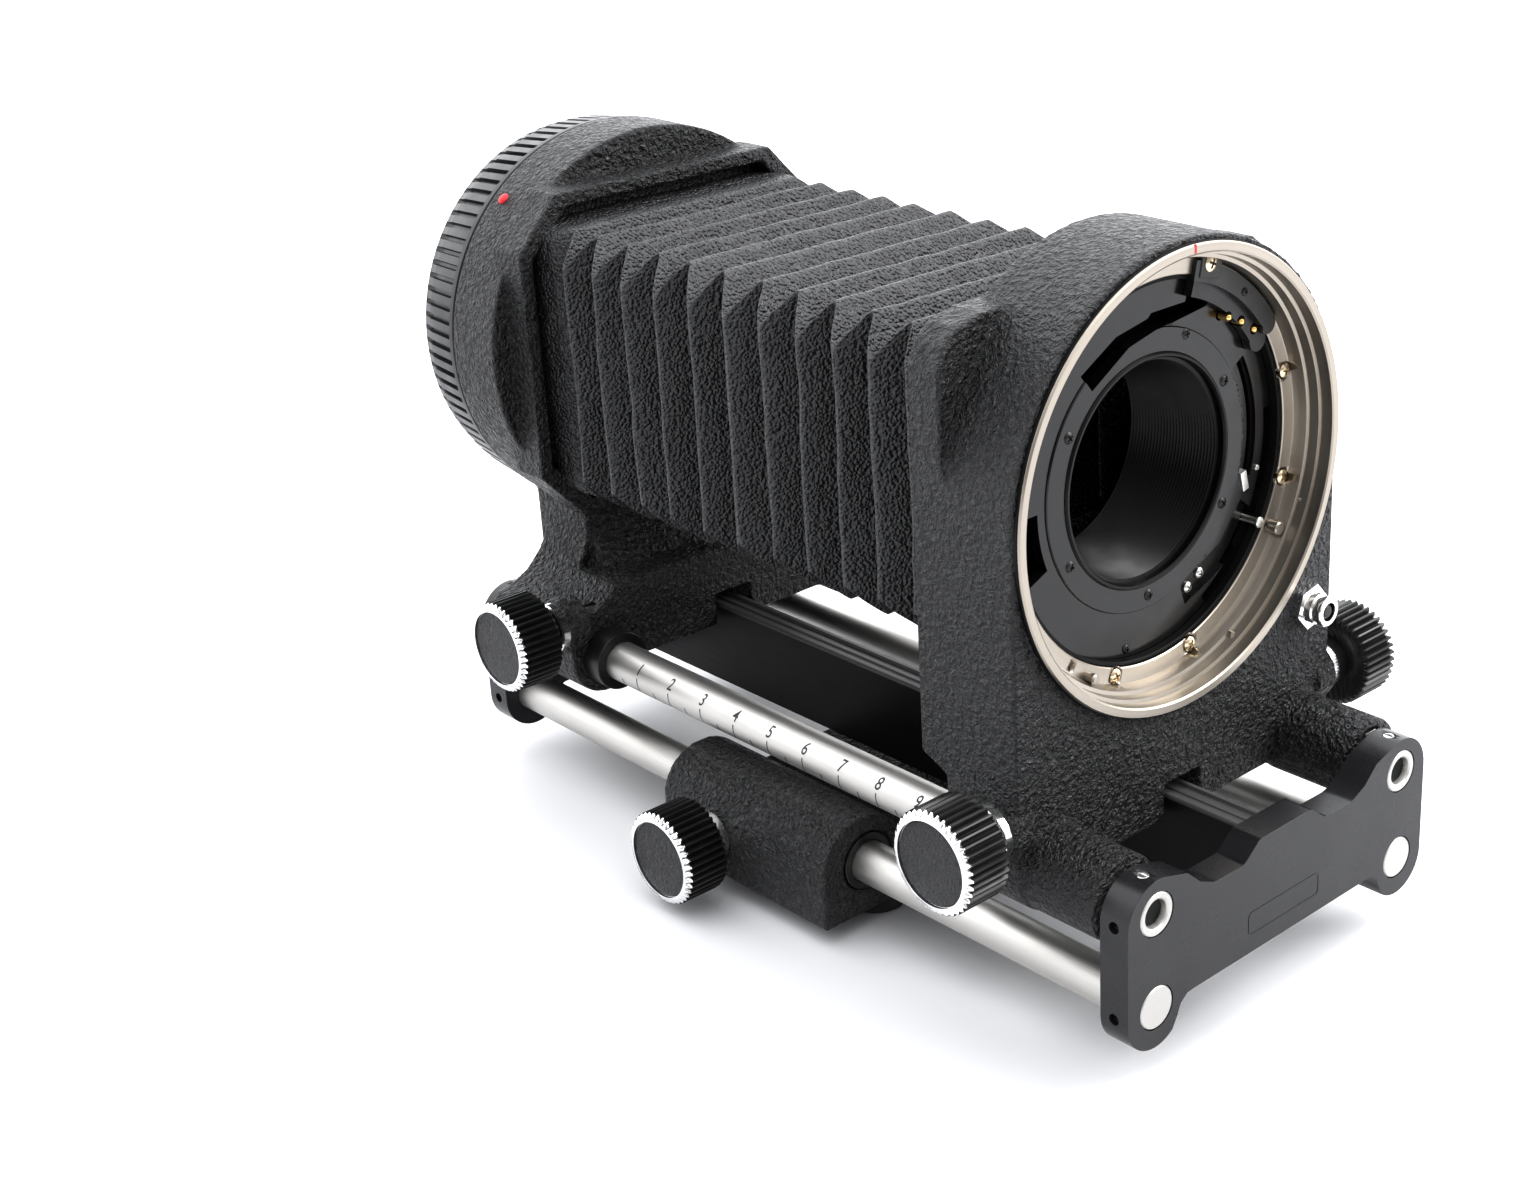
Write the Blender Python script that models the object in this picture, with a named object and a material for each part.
"""Macro bellows unit for a medium-format SLR camera.

Two standards slide on a pair of upper rails, a leatherette bellows joins them, and a tripod
carriage clamps the lower rails. Lengths below are in millimetres and become metres in to_world.
X runs across the rails, Y from the lens end to the camera end, and Z up. Y is counted from the
front face of the front end plate and Z from the axis of the upper rails, until to_world moves the
origin to the middle of the part, at the bottom of its feet.
"""

import math

import bmesh
import bpy
from mathutils import Vector

MM = 0.001
GAP = 0.3  # clearance between neighbouring pieces

# Rails and end plates
RAIL_X = 33.1
RAIL_R = 4.0
RAIL_BORE_R = 2.3
LOWER_RAIL_Z = -17.6
HOLE_R = RAIL_R + GAP
PLATE_T = 6.0
REAR_PLATE_Y = 176.5
FRAME_LENGTH = REAR_PLATE_Y + PLATE_T

# Optical axis and standards
AXIS_Z = 58.8
HALF_WIDTH = 41.3
HOOD_R = 41.3
FRONT_FACE_Y = 23.0
FRONT_BACK_Y = 38.9
FRAME_BACK_Y = 45.3
STEP_Z = 16.8
LOBE_R = 7.8
SHAFT_Z = 8.5
SHAFT_R = 1.7
FRONT_SHAFT_Y = 27.5
REAR_SHAFT_Y = 150.3
PINION_R = 2.6
PITCH_R = 2.75
PINION_TEETH = 10
PINION_HALF_X = 1.5

# Lens mount, its places counted from the optical axis or, for the release, as x and z
CONTACT_PINS = (("upper", 18.6, 23.2), ("middle", 22.1, 21.7), ("lower", 25.6, 19.5))
LOCK_PIN_AT = (36.0, -119.5)
RELEASE_AT = (34.0, 25.6)
RELEASE_BORE_R = 1.7

# Rear standard
REAR_FOOT_Y = (147.5, 175.0)
OCTAGON_Y = 159.6
OCTAGON_HALF = (36.5, 33.3)
FLANGE_Y = (165.3, 179.7)
FLANGE_R = 41.1
CAMERA_RING_Y = (180.0, 193.4)

# Tripod carriage
CARRIAGE_Y = (70.0, 117.0)
CARRIAGE_HALF = 44.0
CARRIAGE_BOTTOM_Z = -28.0
CARRIAGE_TOP_Z = -8.3
CARRIAGE_KNOB_Y = 102.2
CARRIAGE_KNOB_Z = -20.0
SOCKET_RADII = (4.6, 6.2)
SOCKET_RECESS = 0.4
SOCKET_Y = 93.5
FOOT_HEIGHT = 3.5
FOOT_R = 6.0

# Knobs
KNOB_R = 9.3
KNOB_FACE_X = 57.0
KNOB_RIM_T = 9.5
KNOB_HUB_R = 4.6
KNOB_RIBS = 18
WASHER_R = 5.1
DRIVE_WASHER_X = (43.2, 44.7)
CARRIAGE_WASHER_X = (44.3, 45.8)

# Rack on top of the right upper rail
RACK_HALF_X = 1.5
RACK_Z = (4.3, 5.6)
RACK_TOOTH = 0.6
RACK_PITCH = 2 * math.pi * PITCH_R / PINION_TEETH

# Bellows
BELLOWS_HALF = (34.0, 27.8)
BELLOWS_INNER_HALF = (27.5, 21.5)
BELLOWS_MIDDLE_Y = 102.4

GROUND_Z = CARRIAGE_BOTTOM_Z - FOOT_HEIGHT
MIDDLE_Y = CAMERA_RING_Y[1] / 2
RING_SIDES = 40
ROD_SIDES = 20

FINISHES = {
    "crinkle_paint": ((0.018, 0.018, 0.020), 0.75, 0.0),
    "gloss_black": ((0.012, 0.012, 0.013), 0.30, 0.3),
    "satin_steel": ((0.62, 0.61, 0.59), 0.28, 1.0),
    "nickel": ((0.60, 0.55, 0.48), 0.25, 1.0),
    "black_anodised": ((0.020, 0.020, 0.022), 0.45, 0.5),
    "chrome": ((0.80, 0.80, 0.80), 0.12, 1.0),
    "gold": ((0.80, 0.52, 0.18), 0.25, 1.0),
    "leatherette": ((0.030, 0.030, 0.033), 0.60, 0.0),
    "rubber": ((0.015, 0.015, 0.015), 0.85, 0.0),
}


def to_world(x, y, z):
    """Metres, from millimetres counted from the front face and the upper rail axis."""
    return Vector((x, y - MIDDLE_Y, z - GROUND_Z)) * MM


def clear_scene():
    for obj in list(bpy.data.objects):
        bpy.data.objects.remove(obj, do_unlink=True)


def finish_material(name):
    """The material of this finish, made the first time that it is asked for."""
    if name in bpy.data.materials:
        return bpy.data.materials[name]
    colour, roughness, metallic = FINISHES[name]
    material = bpy.data.materials.new(name)
    material.use_nodes = True
    shader = material.node_tree.nodes["Principled BSDF"]
    shader.inputs["Base Color"].default_value = (*colour, 1.0)
    shader.inputs["Roughness"].default_value = roughness
    shader.inputs["Metallic"].default_value = metallic
    return material


def object_from(name, mesh, finish, smooth):
    """An object of this bmesh, its faces pointing out."""
    bmesh.ops.recalc_face_normals(mesh, faces=mesh.faces)
    data = bpy.data.meshes.new(name)
    mesh.to_mesh(data)
    mesh.free()
    obj = bpy.data.objects.new(name, data)
    bpy.context.collection.objects.link(obj)
    data.materials.append(finish_material(finish))
    if smooth:
        data.shade_smooth()
        data.set_sharp_from_angle(angle=math.radians(30))
    return obj


def prism(name, outline, near, far, finish, axis="Y", smooth=False):
    """A straight extrusion. The outline holds (x, z) for axis Y, (y, z) for X and (x, y) for Z."""
    place = {
        "Y": lambda a, b, depth: to_world(a, depth, b),
        "X": lambda a, b, depth: to_world(depth, a, b),
        "Z": lambda a, b, depth: to_world(a, b, depth),
    }[axis]
    mesh = bmesh.new()
    rings = [[mesh.verts.new(place(a, b, depth)) for a, b in outline] for depth in (near, far)]
    mesh.faces.new(rings[0])
    mesh.faces.new(reversed(rings[1]))
    count = len(outline)
    for i in range(count):
        j = (i + 1) % count
        mesh.faces.new((rings[0][i], rings[0][j], rings[1][j], rings[1][i]))
    return object_from(name, mesh, finish, smooth)


def box(name, x, y, z, finish):
    outline = [(x[0], z[0]), (x[1], z[0]), (x[1], z[1]), (x[0], z[1])]
    return prism(name, outline, y[0], y[1], finish)


def turned(name, profile, centre, finish, axis="Y", sides=RING_SIDES):
    """A closed (radius, along) profile turned about an axis. Radius 0 makes a solid centre."""
    place = {
        "Y": lambda r, along, c, s: (centre[0] + r * c, along, centre[1] + r * s),
        "X": lambda r, along, c, s: (along, centre[0] + r * c, centre[1] + r * s),
        "Z": lambda r, along, c, s: (centre[0] + r * c, centre[1] + r * s, along),
    }[axis]
    mesh = bmesh.new()
    rings = []
    for radius, along in profile:
        if radius == 0:
            rings.append([mesh.verts.new(to_world(*place(0, along, 0, 0)))] * sides)
            continue
        angles = [2 * math.pi * i / sides for i in range(sides)]
        rings.append([mesh.verts.new(to_world(*place(radius, along, math.cos(a), math.sin(a))))
                      for a in angles])
    for near, far in zip(rings, rings[1:] + rings[:1]):
        for i in range(sides):
            j = (i + 1) % sides
            corners = list(dict.fromkeys((near[i], near[j], far[j], far[i])))
            if len(corners) > 2:
                mesh.faces.new(corners)
    return object_from(name, mesh, finish, smooth=True)


def rod(name, radius, centre, ends, finish, axis="Y", sides=ROD_SIDES):
    profile = [(0, ends[0]), (radius, ends[0]), (radius, ends[1]), (0, ends[1])]
    return turned(name, profile, centre, finish, axis, sides)


def tube(name, radii, centre, ends, finish, axis="Y", sides=ROD_SIDES):
    inner, outer = radii
    profile = [(inner, ends[0]), (outer, ends[0]), (outer, ends[1]), (inner, ends[1])]
    return turned(name, profile, centre, finish, axis, sides)


def boolean(target, other, operation):
    other.hide_render = True
    other.display_type = "WIRE"
    modifier = target.modifiers.new(other.name, "BOOLEAN")
    modifier.operation = operation
    modifier.solver = "EXACT"
    modifier.object = other


def cut(target, *cutters):
    for cutter in cutters:
        boolean(target, cutter, "DIFFERENCE")


def join(target, *others):
    for other in others:
        boolean(target, other, "UNION")


def arc(centre, radius, start, end, steps):
    """Points of an arc, its angles in degrees."""
    angles = [math.radians(start + (end - start) * i / steps) for i in range(steps + 1)]
    return [(centre[0] + radius * math.cos(a), centre[1] + radius * math.sin(a)) for a in angles]


def mirrored(right_half):
    """A closed outline from its right half, listed from the top centre to the bottom centre."""
    left = [(-x, z) for x, z in reversed(right_half) if x > 0]
    return right_half + left


def octagon(half_x, half_z, chamfer_x, chamfer_z, centre_z=AXIS_Z):
    quarter = [(half_x - chamfer_x, half_z), (half_x, half_z - chamfer_z)]
    right = quarter + [(x, -z) for x, z in reversed(quarter)]
    return [(x, centre_z + z) for x, z in right + [(-x, z) for x, z in reversed(right)]]


# --- Frame ---------------------------------------------------------------------------------------


def plate_outline():
    """Lobes around the four rail ends, a raised middle, and shallow dips beside it."""
    lobe_x, lobe_r = 33.3, 6.7
    right = [(0, 2.9), (7.0, 2.9), (11.0, -0.2), (18.5, -0.2), (22.3, 1.5)]
    right += arc((lobe_x, 0), lobe_r, 120, 0, 8)
    right += arc((lobe_x, -18.3), lobe_r, 0, -150, 10)
    right += [(25.0, -18.3), (0, -18.3)]
    return mirrored(right)


def end_plate(name, near):
    plate = prism(name, plate_outline(), near, near + PLATE_T, "gloss_black")
    for side in (-1, 1):
        for z in (0, LOWER_RAIL_Z):
            hole = rod(f"{name}_hole", HOLE_R, (side * RAIL_X, z),
                       (near - 1, near + PLATE_T + 1), "gloss_black")
            cut(plate, hole)
    return plate


def rails():
    made = []
    for side, word in ((-1, "left"), (1, "right")):
        made.append(tube(f"upper_rail_{word}", (RAIL_BORE_R, RAIL_R), (side * RAIL_X, 0),
                         (0.1, FRAME_LENGTH - 0.1), "satin_steel"))
        made.append(rod(f"lower_rail_{word}", RAIL_R, (side * RAIL_X, LOWER_RAIL_Z),
                        (0.1, FRAME_LENGTH - 0.1), "satin_steel"))
    return made


def central_bar():
    ends = (PLATE_T + GAP, REAR_PLATE_Y - GAP)
    return box("central_bar", (-3.2, 3.2), ends, (-17.0, 1.1), "gloss_black")


def drive_rack():
    """A toothed strip on top of the right upper rail, its teeth facing up to the two pinions."""
    near, far = PLATE_T + GAP, REAR_PLATE_Y - GAP
    bottom, top = RACK_Z
    outline = [(near, bottom), (near, top - RACK_TOOTH)]
    for i in range(int((far - near) / RACK_PITCH)):
        y = near + RACK_PITCH * i
        outline += [(y + 0.3, top - RACK_TOOTH), (y + 0.65, top), (y + 1.1, top),
                    (y + 1.45, top - RACK_TOOTH)]
    outline += [(far, top - RACK_TOOTH), (far, bottom)]
    return prism("drive_rack", outline, RAIL_X - RACK_HALF_X, RAIL_X + RACK_HALF_X,
                 "satin_steel", axis="X")


# --- Standards -----------------------------------------------------------------------------------


def foot_outline(shoulder):
    """Half-width rail lobes below, a slot for the central bar, and the given shoulder above."""
    lobe_x = HALF_WIDTH - LOBE_R
    right = [(0, 4.0), (4.6, 4.0), (4.6, -3.0), (lobe_x - LOBE_R, -3.0)]
    right += arc((lobe_x, 0), LOBE_R, -156, 0, 8)
    right += shoulder
    right.reverse()
    return mirrored(right)


def drive_ways(name, shaft_y, near, far):
    """Room for the rack along the rail, for the pinion above it, and for the shaft."""
    half = RACK_HALF_X + GAP
    rack_way = box(f"{name}_rack_way", (RAIL_X - half, RAIL_X + half), (near, far),
                   (0, RACK_Z[1] + GAP), "crinkle_paint")
    wide = PINION_R + GAP
    outline = [(shaft_y - wide, 0.5), (shaft_y + wide, 0.5)]
    outline += arc((shaft_y, SHAFT_Z), wide, 0, 180, 12)
    half = PINION_HALF_X + GAP
    pinion_way = prism(f"{name}_pinion_way", outline, RAIL_X - half, RAIL_X + half,
                       "crinkle_paint", axis="X")
    shaft_way = rod(f"{name}_shaft_way", SHAFT_R + GAP, (shaft_y, SHAFT_Z), (-60, 60),
                    "crinkle_paint", axis="X")
    return rack_way, pinion_way, shaft_way


def rail_holes(name, near, far):
    return [rod(f"{name}_{side}", HOLE_R, (side * RAIL_X, 0), (near, far), "crinkle_paint")
            for side in (-1, 1)]


def side_bosses(name, shaft_y):
    """Round pads on both sides that the knob washers bear on."""
    return [rod(f"{name}_{side}", 5.6, (shaft_y, SHAFT_Z),
                sorted((side * 38.0, side * 42.9)), "crinkle_paint", axis="X") for side in (-1, 1)]


def front_standard_body():
    hood = arc((0, AXIS_Z), HOOD_R, 90, 0, 14)
    shoulder = list(reversed(hood))
    body = prism("front_standard_body", foot_outline(shoulder), FRONT_FACE_Y, FRONT_BACK_Y,
                 "crinkle_paint", smooth=True)
    collars = [rod(f"front_collar_{side}", LOBE_R - 0.1, (side * RAIL_X, 0),
                   (6.8, FRONT_FACE_Y + 2), "crinkle_paint") for side in (-1, 1)]
    join(body, *collars, *side_bosses("front_boss", FRONT_SHAFT_Y))
    bore = rod("mount_bore", 39.6, (0, AXIS_Z), (20, 50), "crinkle_paint", sides=RING_SIDES)
    release = rod("release_hole", RELEASE_BORE_R, RELEASE_AT, (20, 30), "crinkle_paint")
    cut(body, bore, release, *rail_holes("front_rail_hole", 0, 60),
        *drive_ways("front", FRONT_SHAFT_Y, 0, 60))
    return body


def front_bellows_frame():
    outline = octagon(HALF_WIDTH, 33.7, 8.0, 8.0)
    outline = [(x, STEP_Z if z < AXIS_Z and abs(x) < 41 else z) for x, z in outline]
    outline = [(x, STEP_Z + 3 if z < AXIS_Z and abs(x) > 41 else z) for x, z in outline]
    frame = prism("front_bellows_frame", outline, FRONT_BACK_Y + GAP, FRAME_BACK_Y,
                  "crinkle_paint")
    cut(frame, box("front_light_way", (-28, 28), (30, 50), (AXIS_Z - 22, AXIS_Z + 22),
                   "crinkle_paint"))
    return frame


def lens_mount_ring():
    """A flat rim on the casting's face, stepping down to the flange that holds the screws."""
    profile = [(40.8, 21.8), (40.8, 22.7), (39.3, 22.7), (39.3, 31.0), (33.9, 31.0),
               (33.9, 29.0), (36.6, 29.0), (36.6, 26.4), (37.6, 26.0), (37.6, 24.0),
               (38.8, 23.4), (38.8, 21.8)]
    ring = turned("lens_mount_ring", profile, (0, AXIS_Z), "nickel")
    cut(ring, lock_pin_hole("ring_lock_hole"))
    return ring


def mount_plate():
    plate = tube("mount_plate", (20.5, 39.2), (0, AXIS_Z), (31.4, 33.4), "black_anodised",
                 sides=RING_SIDES)
    for word, x, z in CONTACT_PINS:
        cut(plate, rod(f"contact_hole_{word}", 1.0, (x, AXIS_Z + z), (30, 35), "black_anodised",
                       sides=12))
    cut(plate, aperture_slot(), lock_pin_hole("plate_lock_hole"))
    return plate


def on_mount(radius, angle):
    a = math.radians(angle)
    return radius * math.cos(a), AXIS_Z + radius * math.sin(a)


def ring_sector(name, radii, angles, ends, finish, steps=8):
    inner, outer = radii
    outline = arc((0, AXIS_Z), outer, angles[0], angles[1], steps)
    outline += arc((0, AXIS_Z), inner, angles[1], angles[0], steps)
    return prism(name, outline, ends[0], ends[1], finish)


def aperture_slot():
    return ring_sector("aperture_slot", (31.2, 33.4), (-62, 6), (30, 35), "black_anodised", 10)


def aperture_lever():
    """A curved arm behind the plate, with a pin that passes through the curved slot."""
    arm = ring_sector("aperture_lever", (26.0, 33.2), (-40, -22), (33.8, 34.8), "satin_steel")
    pin = rod("aperture_lever_pin", 0.7, on_mount(32.3, -31), (28.6, 34.5), "satin_steel",
              sides=12)
    join(arm, pin)
    return arm


def lock_pin_hole(name):
    return rod(name, 1.2, on_mount(*LOCK_PIN_AT), (20, 40), "nickel", sides=12)


def lens_lock_pin():
    """A sprung pin that stands out of the mount flange."""
    return rod("lens_lock_pin", 0.9, on_mount(*LOCK_PIN_AT), (26.8, 33.0), "nickel", sides=12)


def throat_tube():
    profile = [(19.4, 30.6), (20.2, 30.6), (20.2, 42.5), (18.4, 42.5), (18.4, 32.0)]
    return turned("throat_tube", profile, (0, AXIS_Z), "black_anodised")


def contact_block():
    """Insulating strip behind the plate that carries the three contact pins."""
    block = ring_sector("contact_block", (27.5, 34.5), (34, 55), (33.7, 36.2), "black_anodised")
    for word, x, z in CONTACT_PINS:
        cut(block, rod(f"contact_bore_{word}", 1.0, (x, AXIS_Z + z), (30, 40), "black_anodised",
                       sides=12))
    return block


def contact_pins():
    return [rod(f"contact_pin_{word}", 0.7, (x, AXIS_Z + z), (30.2, 36.0), "gold", sides=12)
            for word, x, z in CONTACT_PINS]


def cable_release_socket():
    bore = RELEASE_BORE_R
    profile = [(bore, 17.4), (2.7, 17.4), (2.7, 20.6), (4.2, 20.6), (4.2, 22.7), (bore, 22.7)]
    return turned("cable_release_socket", profile, RELEASE_AT, "chrome", sides=ROD_SIDES)


def release_plunger():
    return rod("release_plunger", 1.3, RELEASE_AT, (17.9, 22.6), "gloss_black", sides=16)


def bellows_half(name, ends):
    outer = octagon(*BELLOWS_HALF, 6.0, 6.0)
    half = prism(name, outer, ends[0], ends[1], "leatherette")
    inner_x, inner_z = BELLOWS_INNER_HALF
    cut(half, box(f"{name}_inside", (-inner_x, inner_x), (ends[0] - 1, ends[1] + 1),
                  (AXIS_Z - inner_z, AXIS_Z + inner_z), "leatherette"))
    return half


def rear_standard_body():
    """Wide foot, waisted neck, round flange, and the raised frame that holds the bellows."""
    shoulder = [(HALF_WIDTH, 8.5)] + arc((41.0, 24.0), 14.8, -90, -172, 6) + [(26.4, 27.0),
                                                                            (0, 27.0)]
    body = prism("rear_standard_body", foot_outline(shoulder), *REAR_FOOT_Y, "crinkle_paint")
    front_relief = box("rear_relief", (-60, 60), (140, OCTAGON_Y + 0.6), (14.0, 60),
                       "crinkle_paint")
    cut(body, front_relief)
    neck = box("rear_neck", (-26.0, 26.0), (OCTAGON_Y + 0.9, 178.0), (6.0, 32.0), "crinkle_paint")
    flange = rod("rear_flange", FLANGE_R, (0, AXIS_Z), FLANGE_Y, "crinkle_paint",
                 sides=RING_SIDES)
    raised = prism("rear_octagon", octagon(*OCTAGON_HALF, 9.6, 10.3), OCTAGON_Y, FLANGE_Y[0] + 3,
                   "crinkle_paint")
    join(body, neck, flange, raised, *side_bosses("rear_boss", REAR_SHAFT_Y))
    recess = prism("rear_recess", octagon(33.0, 30.3, 8.5, 9.0), OCTAGON_Y - 2, 166.0,
                   "crinkle_paint")
    light_way = rod("rear_light_way", 29.6, (0, AXIS_Z), (150, 200), "crinkle_paint",
                    sides=RING_SIDES)
    cut(body, recess, light_way, *rail_holes("rear_rail_hole", 140, 190),
        *drive_ways("rear", REAR_SHAFT_Y, 140, 190))
    return body


def rear_bushes():
    """Rings around the upper rails. The right one is open at its top to let the rack pass."""
    left, right = [tube(f"rear_rail_bush_{word}", (HOLE_R, 6.0), (side * RAIL_X, 0),
                        (142.6, 147.2), "black_anodised")
                   for side, word in ((-1, "left"), (1, "right"))]
    half = RACK_HALF_X + GAP
    cut(right, box("rear_bush_gap", (RAIL_X - half, RAIL_X + half), (140, 150), (1, 10),
                   "black_anodised"))
    return [left, right]


def camera_ring():
    profile = [(34.0, 180.0), (40.8, 180.0), (40.8, 184.0), (39.4, 193.4), (34.0, 193.4)]
    return turned("camera_lock_ring", profile, (0, AXIS_Z), "black_anodised")


def camera_bayonet():
    profile = [(30.0, 180.1), (33.6, 180.1), (33.6, 192.6), (30.6, 192.6), (30.6, 183.0),
               (30.0, 183.0)]
    return turned("camera_bayonet", profile, (0, AXIS_Z), "nickel")


# --- Knobs ---------------------------------------------------------------------------------------


def knob(name, side, centre, washer_x):
    """Deep-ribbed grip and its narrow hub. The trim ring sits in the step at its face."""
    outline = []
    turn = 360 / KNOB_RIBS
    for i in range(KNOB_RIBS):
        outline += arc(centre, KNOB_R, turn * (i + 0.1), turn * (i + 0.55), 1)
        outline += arc(centre, KNOB_R - 0.9, turn * (i + 0.7), turn * (i + 0.95), 1)
    back = KNOB_FACE_X - KNOB_RIM_T
    grip = prism(name, outline, side * (KNOB_FACE_X - 1.2), side * back, "black_anodised",
                 axis="X")
    hub = rod(f"{name}_hub", KNOB_HUB_R, centre,
              sorted((side * (washer_x[1] + GAP), side * (back + 1))), "black_anodised", axis="X")
    join(grip, hub)
    bore = rod(f"{name}_bore", SHAFT_R + GAP, centre, sorted((side * 40, side * 52.0)),
               "black_anodised", axis="X")
    cut(grip, bore)
    return grip


def knob_trim(name, side, centre):
    """Bevelled bright ring on the knob's face, with a sunk middle for the covering disc."""
    profile = [(0, 0.9), (8.9, 0.9), (8.9, 0.5), (8.0, 0), (7.4, 0.2), (7.4, 0.5), (0, 0.5)]
    along = [(radius, side * (KNOB_FACE_X - depth)) for radius, depth in profile]
    return turned(name, along, centre, "satin_steel", axis="X", sides=ROD_SIDES)


def knob_washer(name, side, centre, washer_x):
    return tube(name, (SHAFT_R + GAP, WASHER_R), centre, sorted(side * x for x in washer_x),
                "chrome", axis="X")


def drive_shaft(name, shaft_y):
    """Through shaft with its pinion. The pinion's tips clear the rack's by the usual gap."""
    shaft = rod(name, SHAFT_R, (shaft_y, SHAFT_Z), (-51.5, 51.5), "satin_steel", axis="X")
    turn = 360 / PINION_TEETH
    outline = []
    for i in range(PINION_TEETH):
        outline += arc((shaft_y, SHAFT_Z), PINION_R - 0.6, turn * (i + 0.05), turn * (i + 0.4), 1)
        outline += arc((shaft_y, SHAFT_Z), PINION_R, turn * (i + 0.6), turn * (i + 0.85), 1)
    pinion = prism(f"{name}_pinion", outline, RAIL_X - PINION_HALF_X, RAIL_X + PINION_HALF_X,
                   "satin_steel", axis="X")
    join(shaft, pinion)
    return shaft


def drive_knobs(prefix, shaft_y):
    """Both knobs, their trim rings and the shaft between them."""
    centre = (shaft_y, SHAFT_Z)
    made = [drive_shaft(f"{prefix}_drive_shaft", shaft_y)]
    for side, word in ((-1, "left"), (1, "right")):
        made.append(knob(f"{prefix}_knob_{word}", side, centre, DRIVE_WASHER_X))
        made.append(knob_trim(f"{prefix}_knob_trim_{word}", side, centre))
    return made


def knob_washers(prefix, shaft_y):
    return [knob_washer(f"{prefix}_knob_washer_{word}", side, (shaft_y, SHAFT_Z), DRIVE_WASHER_X)
            for side, word in ((-1, "left"), (1, "right"))]


# --- Carriage ------------------------------------------------------------------------------------


def carriage_block():
    """Two cheeks around the lower rails, joined by a bridge that passes under the bar."""
    cheek_x = (24.5, CARRIAGE_HALF)
    corner = CARRIAGE_TOP_Z - LOWER_RAIL_Z
    right = [(0, -18.0), (23.0, -18.0)]
    right += arc((cheek_x[0] + corner, LOWER_RAIL_Z), corner, 180, 90, 6)
    right += arc((cheek_x[1] - corner, LOWER_RAIL_Z), corner, 90, 0, 6)
    right += [(CARRIAGE_HALF, CARRIAGE_BOTTOM_Z), (0, CARRIAGE_BOTTOM_Z)]
    block = prism("carriage_block", mirrored(right), *CARRIAGE_Y, "crinkle_paint", smooth=True)
    near, far = CARRIAGE_Y
    profile = [(0, near - 1), (5.8, near - 1), (5.8, near + 3), (HOLE_R, near + 3),
               (HOLE_R, far - 3), (5.8, far - 3), (5.8, far + 1), (0, far + 1)]
    for side in (-1, 1):
        cut(block, turned(f"carriage_bore_{side}", profile, (side * RAIL_X, LOWER_RAIL_Z),
                          "crinkle_paint", sides=ROD_SIDES))
    clamp = rod("carriage_clamp_hole", SHAFT_R + GAP, (CARRIAGE_KNOB_Y, CARRIAGE_KNOB_Z),
                (-60, -RAIL_X), "crinkle_paint", axis="X")
    socket = rod("carriage_socket_hole", SOCKET_RADII[1] + GAP, (0, SOCKET_Y), (-40, -20.0),
                 "crinkle_paint", axis="Z")
    cut(block, clamp, socket)
    return block


def carriage_bushes():
    made = []
    near, far = CARRIAGE_Y
    for side, word in ((-1, "left"), (1, "right")):
        for end, ends in (("front", (near, near + 2.7)), ("rear", (far - 2.7, far))):
            made.append(tube(f"carriage_bush_{end}_{word}", (HOLE_R, 5.5),
                             (side * RAIL_X, LOWER_RAIL_Z), ends, "black_anodised"))
    return made


def tripod_socket():
    ends = (CARRIAGE_BOTTOM_Z + SOCKET_RECESS, -20.3)
    return tube("tripod_socket", SOCKET_RADII, (0, SOCKET_Y), ends, "satin_steel", axis="Z")


def carriage_feet():
    made = []
    for side, word in ((-1, "left"), (1, "right")):
        for end, y in (("front", CARRIAGE_Y[0] + 6.4), ("rear", CARRIAGE_Y[1] - 6.4)):
            made.append(rod(f"foot_{end}_{word}", FOOT_R, (side * 26.0, y),
                            (GROUND_Z, CARRIAGE_BOTTOM_Z - GAP), "rubber", axis="Z"))
    return made


def clamp_screw():
    return rod("carriage_clamp_screw", SHAFT_R, (CARRIAGE_KNOB_Y, CARRIAGE_KNOB_Z),
               (-51.5, -RAIL_X - RAIL_R - GAP - 0.2), "satin_steel", axis="X")


# --- Assembly ------------------------------------------------------------------------------------


def mount_on(parent_name, pieces, axis_at):
    """Parents the pieces to an empty that stands on their joint's axis."""
    empty = bpy.data.objects.new(parent_name, None)
    empty.location = to_world(*axis_at)
    bpy.context.collection.objects.link(empty)
    for piece in pieces:
        piece.parent = empty
        piece.matrix_parent_inverse.translation = -empty.location
    return empty


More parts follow.
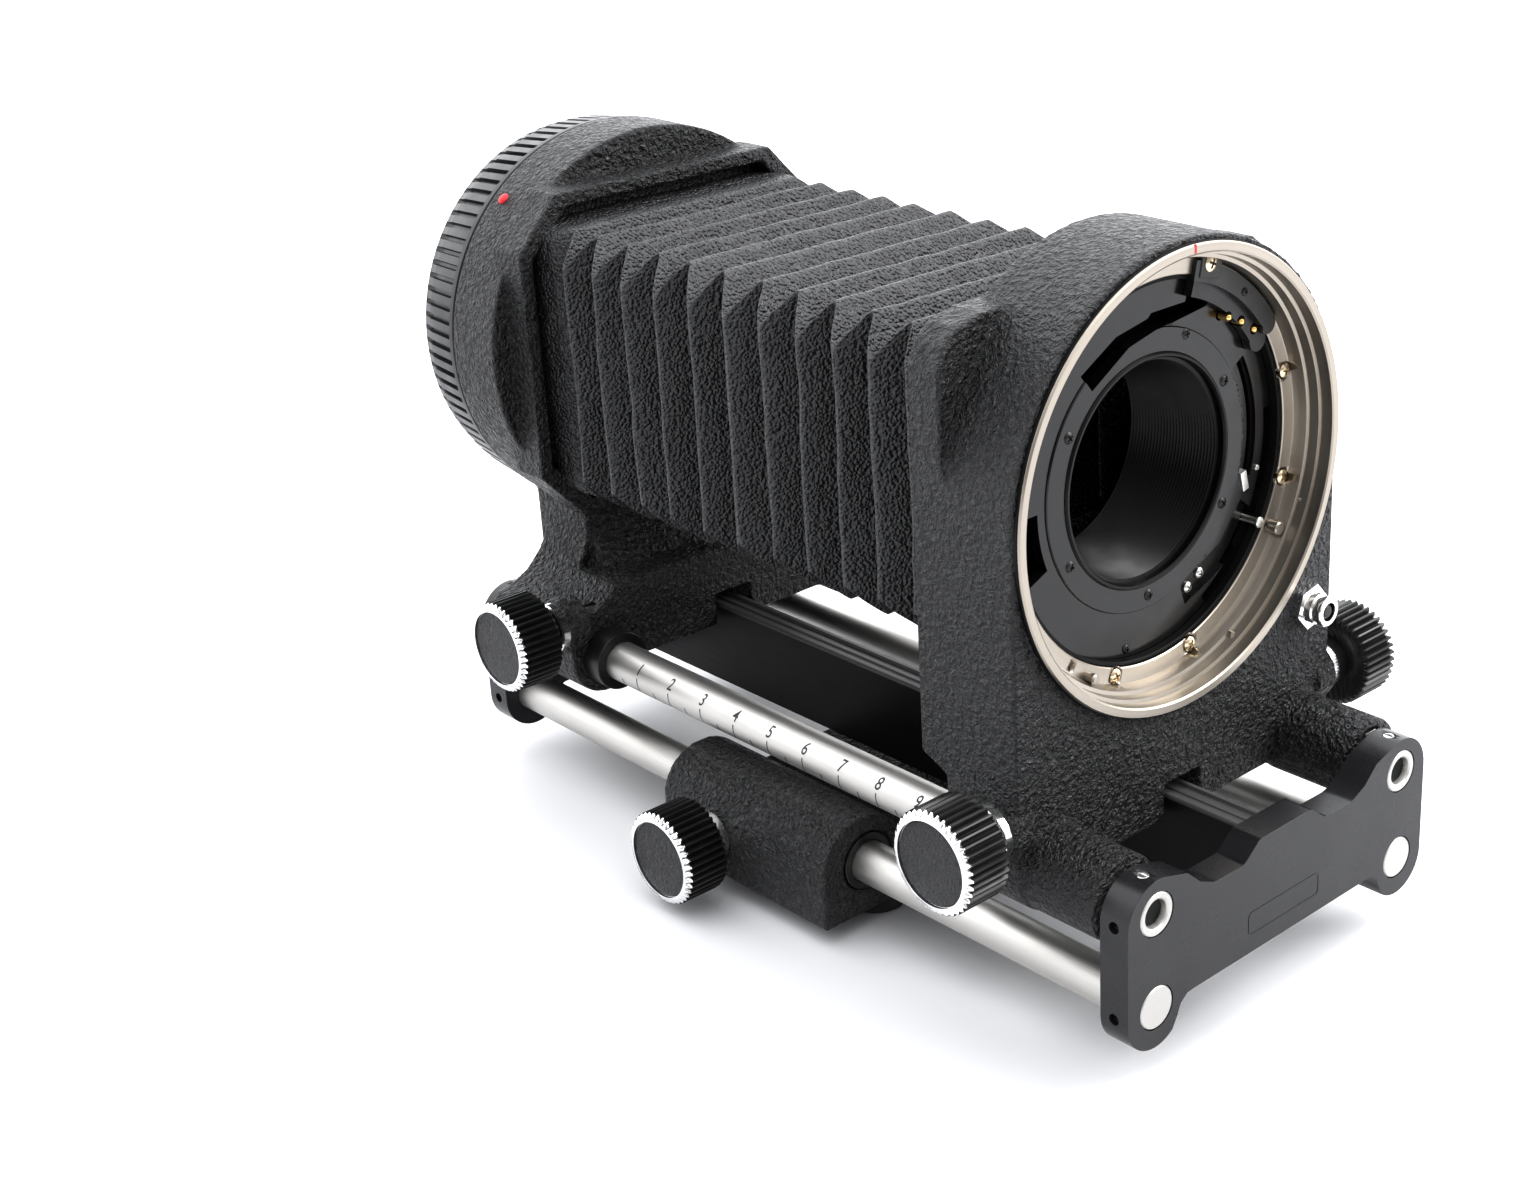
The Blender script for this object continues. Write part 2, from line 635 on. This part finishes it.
def build_frame():
    pieces = [end_plate("front_end_plate", 0.0), end_plate("rear_end_plate", REAR_PLATE_Y)]
    pieces += rails() + [central_bar(), drive_rack()]
    mount_on("rail_frame_axis", pieces, (0, CARRIAGE_Y[0], LOWER_RAIL_Z))


def build_front_standard():
    pieces = [front_standard_body(), front_bellows_frame(), lens_mount_ring(), mount_plate(),
              throat_tube(), contact_block(), cable_release_socket()]
    pieces += knob_washers("front", FRONT_SHAFT_Y)
    mount_on("front_standard_axis", pieces, (0, FRONT_FACE_Y, 0))
    mount_on("front_drive_axis", drive_knobs("front", FRONT_SHAFT_Y), (0, FRONT_SHAFT_Y, SHAFT_Z))
    mount_on("contact_axis", contact_pins(), (CONTACT_PINS[1][1], 31.4, AXIS_Z + CONTACT_PINS[1][2]))
    mount_on("aperture_axis", [aperture_lever()], (0, 34.0, AXIS_Z))
    mount_on("release_axis", [release_plunger()], (RELEASE_AT[0], 18.0, RELEASE_AT[1]))
    lens_lock_pin()


def build_rear_standard():
    pieces = [rear_standard_body(), camera_bayonet(), *rear_bushes()]
    pieces += knob_washers("rear", REAR_SHAFT_Y)
    mount_on("rear_standard_axis", pieces, (0, REAR_FOOT_Y[0], 0))
    mount_on("rear_drive_axis", drive_knobs("rear", REAR_SHAFT_Y), (0, REAR_SHAFT_Y, SHAFT_Z))
    mount_on("camera_lock_axis", [camera_ring()], (0, CAMERA_RING_Y[0], AXIS_Z))


def build_bellows():
    bellows_half("bellows_front", (FRAME_BACK_Y + GAP, BELLOWS_MIDDLE_Y - GAP / 2))
    bellows_half("bellows_rear", (BELLOWS_MIDDLE_Y + GAP / 2, OCTAGON_Y - GAP))


def build_carriage():
    carriage_block()
    carriage_bushes()
    tripod_socket()
    carriage_feet()
    centre = (CARRIAGE_KNOB_Y, CARRIAGE_KNOB_Z)
    knob_washer("carriage_knob_washer", -1, centre, CARRIAGE_WASHER_X)
    pieces = [knob("carriage_knob", -1, centre, CARRIAGE_WASHER_X),
              knob_trim("carriage_knob_trim", -1, centre), clamp_screw()]
    mount_on("carriage_lock_axis", pieces, (-KNOB_FACE_X, *centre))


def main():
    clear_scene()
    build_frame()
    build_front_standard()
    build_rear_standard()
    build_bellows()
    build_carriage()


main()
